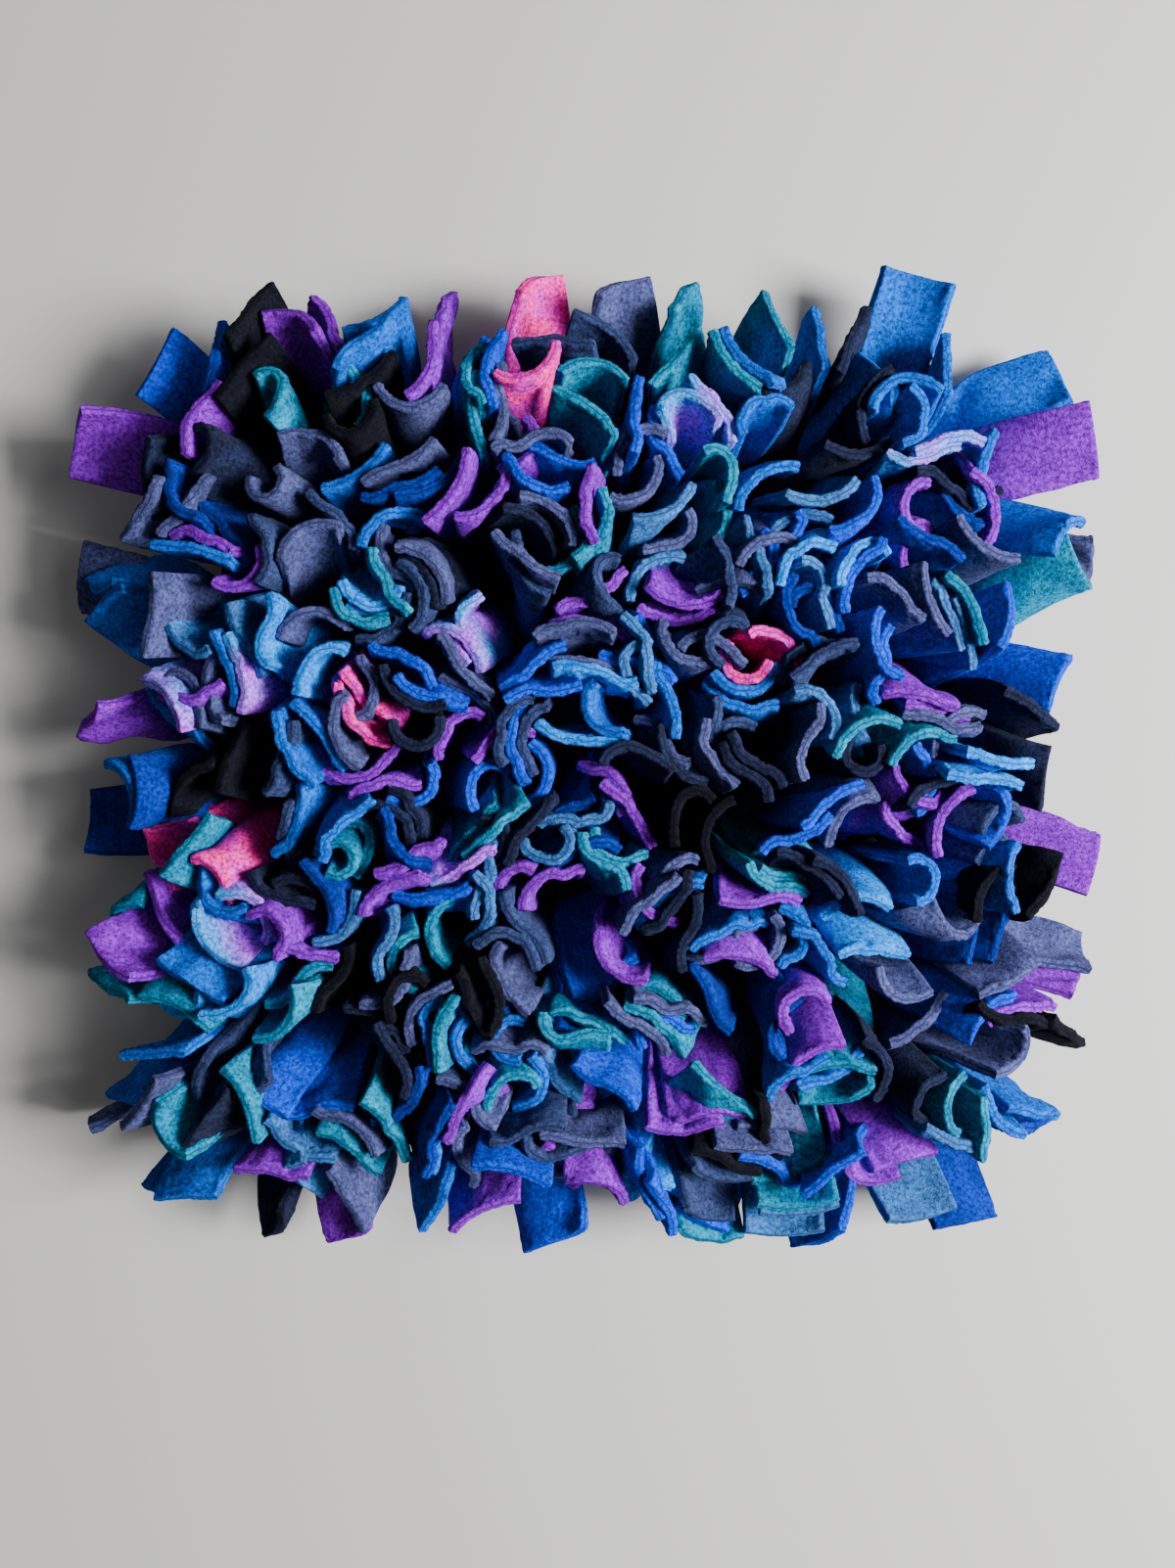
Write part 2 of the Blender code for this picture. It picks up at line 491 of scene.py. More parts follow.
@dataclass
class PileRelaxer:
    """Grows the strips to their full size and settles them against each other.

    Each strip is a grid of points, with rows along it and columns across it. Lengths between
    neighbouring points are kept, wider spacings across the strip hold its curl, and points of
    different strips are pushed a fleece's thickness apart.

    Attributes:
        tail_rows: The rows of points on one tail.
        start_scale: The share of their width that the strips start with.
        start_thick: The share of its thickness that the fleece starts with.
        grown_at: The share of the steps after which all is full-sized.
        gathered_to: How far up a tail, as a share of it, its root's gathers reach.
        pressed: The share of its thickness that the fleece has where it is sewn down.
        pressed_to: How far up a tail the fleece is thinner for that.
        guide: How strongly each tail's middle line is drawn to where it leans, at first.
        guide_fade: The share of the guide that is gone at the last step.
        guide_step: The most that the guide moves a point in one step.
        bend_along: The stiffness of the fleece along a strip.
        bend_across: The stiffness of its curl.
        shear: The stiffness that keeps it square.
        reach_margin: How much further than they touch two points are watched.
        watch_steps: How many steps the same near points are watched.
        passes: How often the lengths and the contacts are put right in a step.
        own_reach: Points of one strip at most this many rows and columns apart don't push
            each other.
        crowd: How many touches a point takes in full.
        crowd_power: How much further touches are eased.
        floor_gap: The clearance above the floor.
        panel_margin: How far past the panel the strips still stay above it.
        points: Every strip's points.
        free: 1 for the points that may move, and 0 for those sewn down.
        goal: Where each row of points leans to.
        outline: The curl of each row of points.
        step_along: The distance from each row of points to the next.
        from_root: How far up its tail each row is, as a share of the tail.
        gather: The width of each row, as a share of the cut width.
        thick: The thickness of the fleece at each row.
    """

    sizes: MatSizes
    lean: Lean
    strips: list[Strip]
    tail_rows: int = 14
    columns: int = 9
    steps: int = 150
    start_scale: float = 0.40
    start_thick: float = 0.35
    grown_at: float = 0.55
    gathered_to: float = 0.45
    pressed: float = 0.6
    pressed_to: float = 0.40
    guide: float = 0.035
    guide_fade: float = 0.8
    guide_step: float = 0.0006
    bend_along: float = 0.35
    bend_across: float = 0.75
    shear: float = 0.35
    reach_margin: float = 0.0012
    watch_steps: int = 3
    passes: int = 2
    own_reach: int = 2
    crowd: float = 1.5
    crowd_power: float = 0.6
    floor_gap: float = 0.0006
    panel_margin: float = 0.001
    points: np.ndarray = field(init=False)
    free: np.ndarray = field(init=False)
    goal: np.ndarray = field(init=False)
    outline: np.ndarray = field(init=False)
    step_along: np.ndarray = field(init=False)
    from_root: np.ndarray = field(init=False)
    gather: np.ndarray = field(init=False)
    thick: np.ndarray = field(init=False)

    @property
    def rows(self) -> int:
        """The rows of points on a strip: its two tails', and three on its sewn middle."""
        return 2 * self.tail_rows + 3

    def __post_init__(self) -> None:
        """Lays the strips out, narrow and thin."""
        noise.seed_set(self.lean.seed)
        count = len(self.strips)
        self.points = np.zeros((count, self.rows, self.columns, 3))
        self.goal = np.zeros((count, self.rows, 3))
        self.outline = np.zeros((count, self.rows, self.columns, 2))
        self.step_along = np.zeros((count, self.rows - 1, 1))
        for index, strip in enumerate(self.strips):
            self._lay(index, strip)
        from_root = np.maximum(np.abs(np.arange(self.rows) - self.tail_rows - 1) - 1, 0)
        self.from_root = from_root / self.tail_rows
        gathered = self.sizes.gathered_share
        spread = smooth_step(self.from_root, 0.0, self.gathered_to)
        self.gather = gathered + (1 - gathered) * spread
        lofty = smooth_step(self.from_root, 0.0, self.pressed_to)
        self.thick = self.sizes.fleece_thick * (self.pressed + (1 - self.pressed) * lofty)
        self.free = np.ones((1, self.rows, 1, 1))
        self.free[:, self.from_root == 0] = 0.0
        self.points = self.points.astype(np.float32)

    def _lay(self, index: int, strip: Strip) -> None:
        """Puts one strip's points in their places.

        Args:
            index: The strip's place in the list.
            strip: The strip.
        """
        turn = np.array(
            [
                [math.cos(strip.heading), -math.sin(strip.heading)],
                [math.sin(strip.heading), math.cos(strip.heading)],
            ]
        )
        apart = turn @ np.array([0.0, self.sizes.sewn_length / 2])
        middle = self.tail_rows + 1
        for tail in strip.tails:
            curl = tail.curl.outline(self.columns, tail.turn) * strip.width
            offsets = curl @ turn.T
            root = strip.centre + tail.side * apart
            along = np.arange(1, self.tail_rows + 1) * tail.length / self.tail_rows
            rows = middle + tail.side * (1 + np.arange(1, self.tail_rows + 1))
            for column in range(self.columns):
                place = root + offsets[column] * self.start_scale
                bend = self.lean.bend_at(*place)
                self.points[index, rows, column] = self.lean.line(place, bend, along)
            bend = self.lean.bend_at(*root) + tail.push
            size = float(np.hypot(*bend))
            bend *= min(1.0, self.lean.most / max(size, 1e-6))
            self.goal[index, rows] = self.lean.line(root, bend, along)
            self.outline[index, rows] = curl
            steps = np.minimum(rows, rows - tail.side)
            self.step_along[index, steps, 0] = tail.length / self.tail_rows
        across = np.linspace(-0.5, 0.5, self.columns) * strip.width
        flat = np.stack([across, np.zeros(self.columns)], axis=-1)
        for row in (middle - 1, middle, middle + 1):
            place = strip.centre + (row - middle) * apart
            self.points[index, row, :, :2] = place + (flat * self.start_scale) @ turn.T
            self.points[index, row, :, 2] = self.sizes.band_middle
            self.outline[index, row] = flat
            self.goal[index, row] = (*place, self.sizes.band_middle)
        self.step_along[index, middle - 1 : middle + 1, 0] = self.sizes.sewn_length / 2

    def _pull(self, first: tuple, second: tuple, rest: np.ndarray, stiffness: float) -> None:
        """Moves two sets of points towards their rest distance, pair by pair.

        Args:
            first: The slices that pick the first points.
            second: The slices that pick the second points.
            rest: The distances to keep, without a last axis.
            stiffness: 1 closes the whole difference.
        """
        between = self.points[second] - self.points[first]
        length = np.sqrt(np.einsum("...k,...k->...", between, between)) + 1e-9
        weight = np.broadcast_to(self.free, self.points.shape[:3] + (1,))
        free_first, free_second = weight[first], weight[second]
        total = free_first + free_second + 1e-9
        move = between * (stiffness * (length - rest) / length)[..., None] / total
        self.points[first] += move * free_first
        self.points[second] -= move * free_second

    @staticmethod
    def _batches(points: int, gap: int) -> Iterator[np.ndarray]:
        """Splits the pairs along a line of points into batches that share no point.

        Args:
            points: How many points the line has.
            gap: How far apart in the line a pair's points are.

        Yields:
            The numbers of the first points of a batch's pairs.
        """
        for start in range(2):
            for phase in range(gap):
                pick = np.arange(start * gap + phase, points - gap, 2 * gap)
                if len(pick) > 0:
                    yield pick

    def _keep_lengths(self, scale: float) -> None:
        """Keeps the sheets' lengths and curls.

        Args:
            scale: The share of the full width that the strips have grown to.
        """
        gather = self.gather[None, :, None] * scale
        self._keep_across(gather)
        self._keep_along()
        self._keep_square(gather)

    def _keep_across(self, gather: np.ndarray) -> None:
        """Keeps the strips' widths and curls.

        Args:
            gather: The width of each row, as a share of the cut width.
        """
        for gap, stiffness in ((4, self.bend_across), (2, self.bend_across), (1, 1.0)):
            chord = self.outline[:, :, gap:] - self.outline[:, :, :-gap]
            rest = np.sqrt((chord**2).sum(-1)) * gather
            for pick in self._batches(self.columns, gap):
                first, second = (EVERY, EVERY, pick), (EVERY, EVERY, pick + gap)
                self._pull(first, second, rest[:, :, pick], stiffness)

    def _keep_along(self) -> None:
        """Keeps the strips' lengths."""
        step = self.step_along
        for gap, stiffness in ((2, self.bend_along), (1, 1.0)):
            rest = step if gap == 1 else step[:, 1:] + step[:, :-1]
            for pick in self._batches(self.rows, gap):
                self._pull((EVERY, pick), (EVERY, pick + gap), rest[:, pick], stiffness)

    def _keep_square(self, gather: np.ndarray) -> None:
        """Keeps the diagonals between neighbouring rows and columns.

        Args:
            gather: The width of each row, as a share of the cut width.
        """
        side = self.outline[:, :, 1:] - self.outline[:, :, :-1]
        side = np.sqrt((side**2).sum(-1)) * gather
        cross = np.sqrt(self.step_along**2 + (0.5 * (side[:, 1:] + side[:, :-1])) ** 2)
        left, right = np.arange(self.columns - 1), np.arange(1, self.columns)
        for pick in self._batches(self.rows, 1):
            row = pick[:, None]
            for here, there in ((left, right), (right, left)):
                for phase in range(2):
                    first = (EVERY, row, here[None, phase::2])
                    second = (EVERY, row + 1, there[None, phase::2])
                    self._pull(first, second, cross[:, pick][:, :, phase::2], self.shear)

    def _near_pairs(self, reach: float) -> tuple[np.ndarray, np.ndarray]:
        """Pairs of points of different sheets, or of far parts of one sheet, that are near.

        Args:
            reach: How near they are.

        Returns:
            The numbers of the first and of the second point of each pair.
        """
        flat = self.points.reshape(-1, 3)
        cell = np.floor((flat - flat.min(axis=0)) / reach).astype(np.int64) + 1
        high, deep = int(cell[:, 2].max()) + 2, int(cell[:, 1].max()) + 2
        key = (cell[:, 0] * deep + cell[:, 1]) * high + cell[:, 2]
        order = np.argsort(key, kind="stable")
        ordered = key[order]
        every = np.arange(len(flat))
        found = []
        for step_x, step_y in ((0, 0), (0, 1), (1, -1), (1, 0), (1, 1)):
            base = key + (step_x * deep + step_y) * high
            low = np.searchsorted(ordered, base - 1, "left")
            count = np.searchsorted(ordered, base + 1, "right") - low
            first = np.repeat(every, count)
            inside = np.arange(len(first)) - np.repeat(np.cumsum(count) - count, count)
            second = order[np.repeat(low, count) + inside]
            if (step_x, step_y) == (0, 0):
                once = second > first
                first, second = first[once], second[once]
            gap = flat[first] - flat[second]
            near = np.einsum("ij,ij->i", gap, gap) < reach * reach
            found.append((first[near], second[near]))
        first = np.concatenate([pair[0] for pair in found])
        second = np.concatenate([pair[1] for pair in found])
        per_strip = self.rows * self.columns
        row_a, row_b = first % per_strip // self.columns, second % per_strip // self.columns
        column_a, column_b = first % self.columns, second % self.columns
        same = first // per_strip == second // per_strip
        beside = np.abs(row_a - row_b) <= self.own_reach
        beside &= np.abs(column_a - column_b) <= self.own_reach
        keep = ~(same & beside)
        return first[keep], second[keep]

    def _keep_apart(self, first: np.ndarray, second: np.ndarray, scale: float) -> None:
        """Pushes near points a fleece's thickness apart.

        Args:
            first: The numbers of the first points.
            second: The numbers of the second points.
            scale: The share of the full thickness that the fleece has grown to.
        """
        flat = self.points.reshape(-1, 3)
        count = len(flat)
        thick = np.broadcast_to(self.thick[None, :, None], self.points.shape[:3]).reshape(-1)
        free = np.broadcast_to(self.free[..., 0], self.points.shape[:3]).reshape(-1)
        between = flat[second] - flat[first]
        length = np.sqrt(np.einsum("ij,ij->i", between, between)) + 1e-9
        wanted = 0.5 * (thick[first] + thick[second]) * scale
        close = length < wanted
        first, second, between = first[close], second[close], between[close]
        length, wanted = length[close], wanted[close]
        push = between * (0.5 * (wanted - length) / length)[:, None]
        touches = np.bincount(first, minlength=count) + np.bincount(second, minlength=count)
        ease = (self.crowd / np.maximum(touches, self.crowd)) ** self.crowd_power * free
        for axis in range(3):
            total = np.bincount(second, push[:, axis], count)
            total -= np.bincount(first, push[:, axis], count)
            flat[:, axis] += total * ease

    def _keep_off_floor(self) -> None:
        """Keeps the strips above the panel, and above the floor beyond it."""
        half = self.thick[None, :, None] / 2
        x, y = np.abs(self.points[..., 0]), np.abs(self.points[..., 1])
        border = self.sizes.panel_border + self.panel_margin
        over = (x < self.sizes.half_x + border) & (y < self.sizes.half_y + border)
        lowest = np.where(over, self.sizes.panel_thick + self.sizes.gap, self.floor_gap) + half
        self.points[..., 2] = np.maximum(self.points[..., 2], lowest)

    def settle(self, steps: int | None = None) -> np.ndarray:
        """Grows and settles the strips.

        Args:
            steps: How many steps to take, if not the usual number.

        Returns:
            The strips' points, as strips by rows by columns by axes.
        """
        steps = steps or self.steps
        middle = self.columns // 2
        sewn = self.from_root == 0
        pinned = self.points[:, sewn].copy()
        centre = pinned[:, :, middle : middle + 1]
        for step in range(steps):
            done = step / (steps - 1)
            grown = float(smooth_step(done, 0.0, self.grown_at))
            scale = self.start_scale + (1 - self.start_scale) * grown
            thick = self.start_thick + (1 - self.start_thick) * grown
            widen = max(scale / self.start_scale * self.sizes.gathered_share, 1.0)
            self.points[:, sewn] = centre + (pinned - centre) * widen
            if step % self.watch_steps == 0:
                reach = self.sizes.fleece_thick * thick + self.reach_margin
                pairs = self._near_pairs(reach)
            pull = self.guide * (1.0 - self.guide_fade * done)
            offset = (self.goal[:, :, None] - self.points[:, :, middle : middle + 1]) * pull
            size = np.sqrt((offset**2).sum(-1, keepdims=True)) + 1e-9
            offset *= np.minimum(1.0, self.guide_step / size)
            self.points += (offset * self.free).astype(np.float32)
            for _ in range(self.passes):
                self._keep_lengths(scale)
                self._keep_apart(*pairs, thick)
            self._keep_off_floor()
        return self.points


class Dye(Enum):
    """The dyes of the fleece, each with its share of the strips and its colours."""

    ROYAL = (24, ((0.0, 0.050, 0.540), (0.0, 0.038, 0.430)))
    AZURE = (26, ((0.0, 0.092, 0.500), (0.0, 0.070, 0.400)))
    COBALT = (12, ((0.002, 0.022, 0.240), (0.001, 0.015, 0.160)))
    TEAL = (28, ((0.0, 0.190, 0.330), (0.0, 0.125, 0.245)))
    PURPLE = (30, ((0.190, 0.006, 0.480), (0.140, 0.004, 0.360)))
    SLATE = (34, ((0.054, 0.064, 0.185), (0.039, 0.046, 0.138)))
    STORM = (14, ((0.024, 0.038, 0.115), (0.017, 0.026, 0.080)))
    NAVY = (18, ((0.010, 0.014, 0.042), (0.007, 0.009, 0.026)))
    INK = (9, ((0.0045, 0.005, 0.010), (0.003, 0.0035, 0.007)))
    DENIM = (14, ((0.030, 0.125, 0.370), (0.024, 0.088, 0.260)))
    SKY = (8, ((0.004, 0.220, 0.740), (0.002, 0.150, 0.600)))
    TIE_DYE = (6, ((0.420, 0.060, 0.800), (0.030, 0.230, 0.640)))
    ROSE = (4, ((0.780, 0.020, 0.280), (0.560, 0.015, 0.400)))

    @property
    def share(self) -> int:
        """The dye's weight among the strips."""
        return self.value[0]

    @property
    def kin(self) -> Dye:
        """The dye itself, or the one it is hard to tell from."""
        return Dye.ROYAL if self is Dye.AZURE else self

    @property
    def colours(self) -> tuple[Colour, Colour]:
        """The dye's two colours, which the cloth mixes."""
        return self.value[1]

    @staticmethod
    def deck(count: int, rng: random.Random) -> list[Dye]:
        """Dyes for all strips, in their shares and well mixed.

        Args:
            count: How many strips there are.
            rng: The source of the mixing.

        Returns:
            One dye for each strip.
        """
        total = sum(dye.share for dye in Dye)
        deck = [dye for dye in Dye for _ in range(math.ceil(dye.share * count / total))]
        rng.shuffle(deck)
        return deck[:count]


class Recipe:
    """A new material, and the steps that its colour and its bumps go through.

    Every step takes numbers, colours or the results of other steps, and returns its result.
    """

    def __init__(self, name: str) -> None:
        """Starts the material.

        Args:
            name: The material's name.
        """
        self.material = bpy.data.materials.new(name)
        self.material.use_nodes = True
        self.nodes = self.material.node_tree.nodes
        self.shader = self.nodes["Principled BSDF"]
        self.place = self.nodes.new("ShaderNodeTexCoord").outputs["Object"]

    def feed(self, socket: bpy.types.NodeSocket, value: Feed) -> None:
        """Gives a socket its value.

        Args:
            socket: The socket.
            value: A number or a colour to set it to, or the result to link to it.
        """
        if isinstance(value, bpy.types.NodeSocket):
            self.material.node_tree.links.new(value, socket)
        elif isinstance(value, tuple):
            socket.default_value = (*value, 1.0)
        else:
            socket.default_value = value

    def texture(self, kind: str, **values: Feed) -> bpy.types.NodeSocket:
        """Reads a texture at the place on the piece.

        Args:
            kind: The texture node's type.
            **values: Its inputs, by name.

        Returns:
            The texture's height, from 0 to 1.
        """
        node = self.nodes.new(kind)
        self.feed(node.inputs["Vector"], self.place)
        for name, value in values.items():
            self.feed(node.inputs[name], value)
        return node.outputs["Fac"]

    def waves(self, direction: str, scale: float) -> bpy.types.NodeSocket:
        """Reads straight waves.

        Args:
            direction: The axis along which they follow each other.
            scale: Their scale.

        Returns:
            The waves' height, from 0 to 1.
        """
        height = self.texture("ShaderNodeTexWave", Scale=scale)
        height.node.bands_direction = direction
        return height

    def remap(self, value: Feed, low: float, high: float, *onto: float) -> bpy.types.NodeSocket:
        """Stretches a range of values, and cuts off what lies beyond it.

        Args:
            value: What to stretch.
            low: The range's low end.
            high: Its high end.
            *onto: What the two ends become, if not 0 and 1.

        Returns:
            The stretched value.
        """
        node = self.nodes.new("ShaderNodeMapRange")
        ends = (low, high, *(onto or (0.0, 1.0)))
        for name, end in zip(("From Min", "From Max", "To Min", "To Max"), ends):
            node.inputs[name].default_value = end
        self.feed(node.inputs["Value"], value)
        return node.outputs["Result"]

    def chain(
        self, start: Feed, *steps: tuple[str, Feed], clamp: bool = False
    ) -> bpy.types.NodeSocket:
        """Puts a value through a chain of sums.

        Args:
            start: The value.
            *steps: Each sum's operation, and its second number.
            clamp: Whether each result is kept between 0 and 1.

        Returns:
            The last sum's result.
        """
        result = start
        for operation, second in steps:
            node = self.nodes.new("ShaderNodeMath")
            node.operation = operation
            node.use_clamp = clamp
            self.feed(node.inputs[0], result)
            self.feed(node.inputs[1], second)
            result = node.outputs[0]
        return result

    def mix(
        self, share: Feed, first: Feed, second: Feed, blend: str = "MIX"
    ) -> bpy.types.NodeSocket:
        """Mixes two colours.

        Args:
            share: The second colour's share.
            first: The first colour.
            second: The second colour.
            blend: How they are mixed.

        Returns:
            The mixed colour.
        """
        node = self.nodes.new("ShaderNodeMix")
        node.data_type = "RGBA"
        node.blend_type = blend
        ends = [socket for socket in node.inputs if socket.type == "RGBA"]
        self.feed(node.inputs["Factor"], share)
        self.feed(ends[0], first)
        self.feed(ends[1], second)
        return next(socket for socket in node.outputs if socket.type == "RGBA")

    def bump(self, height: Feed, strength: float, depth: float) -> None:
        """Gives the surface its fine relief.

        Args:
            height: The relief's height, from 0 to 1.
            strength: How much of it shows.
            depth: Its full depth.
        """
        node = self.nodes.new("ShaderNodeBump")
        node.inputs["Strength"].default_value = strength
        node.inputs["Distance"].default_value = depth
        self.feed(node.inputs["Height"], height)
        self.feed(self.shader.inputs["Normal"], node.outputs["Normal"])


def shade(colour: Colour, factor: float) -> Colour:
    """A colour with each of its channels multiplied by a factor."""
    return tuple(channel * factor for channel in colour)


@dataclass(frozen=True)
class FleeceFinish:
    """Napped polar fleece: matt, fluffy and a little mottled, with a darker knit in its cut edge,
    whose colour also paints the shade in the edge's groove.

    Attributes:
        patch_scale: The scale of the dye's own unevenness, per metre.
        tie_dye_scale: The same for a tie-dyed fleece's patches.
        patch_detail: How many finer layers that noise has.
        patch_ends: Its values that show the dye's two colours in full.
        mottle_scale: The scale of the nap's light and dark clumps, per metre.
        mottle_ends: The values of that noise at which the clumps are darkest and lightest.
        mottle_tones: The factors on the colour there.
        knit_and_groove_shade_tone: The factor on the colour of the knit, and of the painted shade
            in the edge's groove.
        knit_and_groove_shade_sharpness: How quickly the knit and its painted groove shade fade
            away from the middle of the cut edge.
        nap_scale: The scale of the nap's relief, per metre.
        nap_detail: How many finer layers the clumps and the relief have.
        noise_roughness: How much of every noise is in its finer layers.
        bump: How much of the relief shows.
        bump_depth: Its full depth.
        sheen_light: The sheen of the light dyes.
        sheen_dark: The sheen of the others.
        light_from: The strongest channel above which a dye is a light one.
        sheen_paleness: What the sheen's tint has more of, in each channel, than the dye.
        sheen_roughness: How widely the sheen spreads.
        roughness: The surface's roughness.
        specular: How much it mirrors.
    """

    dye: Dye
    patch_scale: float = 90.0
    tie_dye_scale: float = 34.0
    patch_detail: float = 1.5
    patch_ends: tuple[float, float] = (0.40, 0.60)
    mottle_scale: float = 760.0
    mottle_ends: tuple[float, float] = (0.34, 0.66)
    mottle_tones: tuple[float, float] = (0.42, 1.66)
    knit_and_groove_shade_tone: float = 0.36
    knit_and_groove_shade_sharpness: float = 4.5
    nap_scale: float = 1600.0
    nap_detail: float = 4.0
    noise_roughness: float = 0.6
    bump: float = 0.8
    bump_depth: float = 0.0008
    sheen_light: float = 0.02
    sheen_dark: float = 0.12
    light_from: float = 0.3
    sheen_paleness: float = 0.10
    sheen_roughness: float = 0.5
    roughness: float = 0.95
    specular: float = 0.04

    def material(self) -> bpy.types.Material:
        """Makes the fleece's material.

        Returns:
            The material.
        """
        recipe = Recipe(f"fleece_{self.dye.name.lower()}")
        first, second = self.dye.colours
        scale = self.tie_dye_scale if self.dye is Dye.TIE_DYE else self.patch_scale
        patches = self._noise(recipe, scale, self.patch_detail)
        patches = recipe.remap(patches, *self.patch_ends)
        dyed = recipe.mix(patches, first, second)
        mottle = self._noise(recipe, self.mottle_scale, self.nap_detail)
        tone = recipe.remap(mottle, *self.mottle_ends, *self.mottle_tones)
        toned = recipe.mix(1.0, dyed, tone, "MULTIPLY")
        # The knit line in the cut edge, whose darker colour also paints the shade in the edge's
        # groove.
        core = recipe.nodes.new("ShaderNodeAttribute")
        core.attribute_name = "core"
        steps = (("POWER", self.knit_and_groove_shade_sharpness), ("MULTIPLY", tone))
        knit_and_groove_shade = recipe.chain(core.outputs["Fac"], *steps, clamp=True)
        colour = recipe.mix(knit_and_groove_shade, toned, shade(second, self.knit_and_groove_shade_tone))
        shader = recipe.shader
        recipe.feed(shader.inputs["Base Color"], colour)
        nap = self._noise(recipe, self.nap_scale, self.nap_detail)
        recipe.bump(nap, self.bump, self.bump_depth)
        shader.inputs["Roughness"].default_value = self.roughness
        shader.inputs["Specular IOR Level"].default_value = self.specular
        light = max(first) >= self.light_from
        sheen = self.sheen_light if light else self.sheen_dark
        shader.inputs["Sheen Weight"].default_value = sheen
        shader.inputs["Sheen Roughness"].default_value = self.sheen_roughness
        tint = tuple(min(1.0, self.sheen_paleness + channel) for channel in first)
        shader.inputs["Sheen Tint"].default_value = (*tint, 1.0)
        return recipe.material

    def _noise(self, recipe: Recipe, scale: float, detail: float) -> bpy.types.NodeSocket:
        """Adds a noise to the recipe.

        Args:
            recipe: The recipe.
            scale: The noise's scale, per metre.
            detail: How many finer layers it has.

        Returns:
            The noise.
        """
        rough = self.noise_roughness
        return recipe.texture("ShaderNodeTexNoise", Scale=scale, Detail=detail, Roughness=rough)


